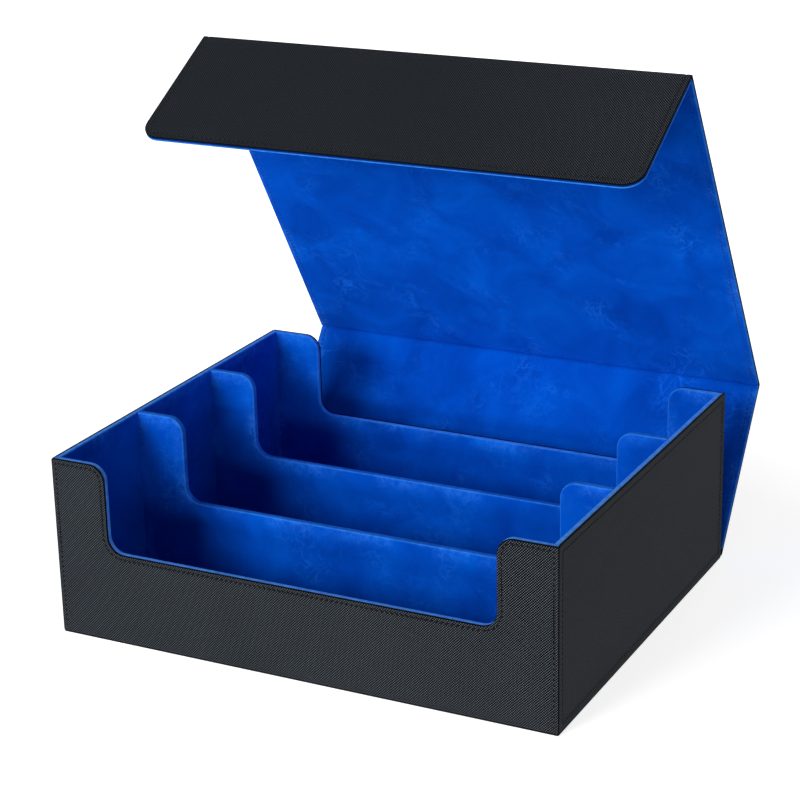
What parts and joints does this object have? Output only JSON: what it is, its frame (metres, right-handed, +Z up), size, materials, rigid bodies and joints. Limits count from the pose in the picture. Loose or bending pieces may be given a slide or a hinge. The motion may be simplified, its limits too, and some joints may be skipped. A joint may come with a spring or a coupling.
{
  "type": "trading card storage box",
  "caption": "Lined card box: an open tray with divided rows and scooped walls inside a folding wrap-around cover whose front flap closes on magnets.",
  "frame": {"origin": "middle of the tray's underside, on the surface it stands on", "axes": "+X along the card rows, +Y to the rear, where the cover is hinged, +Z up out of the tray"},
  "size_m": [0.321, 0.3317, 0.3237],
  "materials": {
    "leatherette": "embossed black leatherette, satin",
    "suede": "royal-blue brushed suede cloth, matte",
    "greyboard": "dense grey binder's board, matte",
    "magnet": "plated disc magnet, satin"
  },
  "bodies": {
    "tray": {"base_cover": "leatherette", "floor_board": "greyboard", "front_board": "greyboard", "back_board": "greyboard", "left_board": "greyboard", "right_board": "greyboard", "front_divider_board": "greyboard", "rear_divider_board": "greyboard", "front_cover": "leatherette", "back_cover": "leatherette", "left_cover": "leatherette", "right_cover": "leatherette", "front_lining": "suede", "back_lining": "suede", "left_lining": "suede", "right_lining": "suede", "front_divider_sleeve": "suede", "rear_divider_sleeve": "suede", "front_row_floor_lining": "suede", "middle_row_floor_lining": "suede", "rear_row_floor_lining": "suede", "wall_magnets": "magnet", "spine_fold_skin": "leatherette"},
    "spine": {"spine_cover": "leatherette", "spine_board": "greyboard", "spine_lining": "suede", "lid_fold_skin": "leatherette", "lid_fold_lining": "suede"},
    "lid": {"lid_cover": "leatherette", "lid_board": "greyboard", "lid_lining": "suede", "flap_fold_skin": "leatherette", "flap_fold_lining": "suede"},
    "flap": {"flap_cover": "leatherette", "flap_board": "greyboard", "flap_lining": "suede", "flap_magnets": "magnet"}
  },
  "joints": [
    {"name": "spine_hinge", "type": "hinge", "parent": "tray", "child": "spine", "pos_m": [0, 0.1342, 0.0012], "axis": [1, 0, 0], "range_deg": [-54.7, 35.3], "deforming": ["spine_fold_skin"]},
    {"name": "lid_hinge", "type": "hinge", "parent": "spine", "child": "lid", "pos_m": [0, 0.1995, 0.09342], "axis": [1, 0, 0], "range_deg": [-66.7, 23.3], "deforming": ["lid_fold_skin", "lid_fold_lining"]},
    {"name": "flap_hinge", "type": "hinge", "parent": "lid", "child": "flap", "pos_m": [0, 0.05966, 0.32252], "axis": [1, 0, 0], "range_deg": [-88.2, 1.8], "deforming": ["flap_fold_skin", "flap_fold_lining"]}
  ]
}
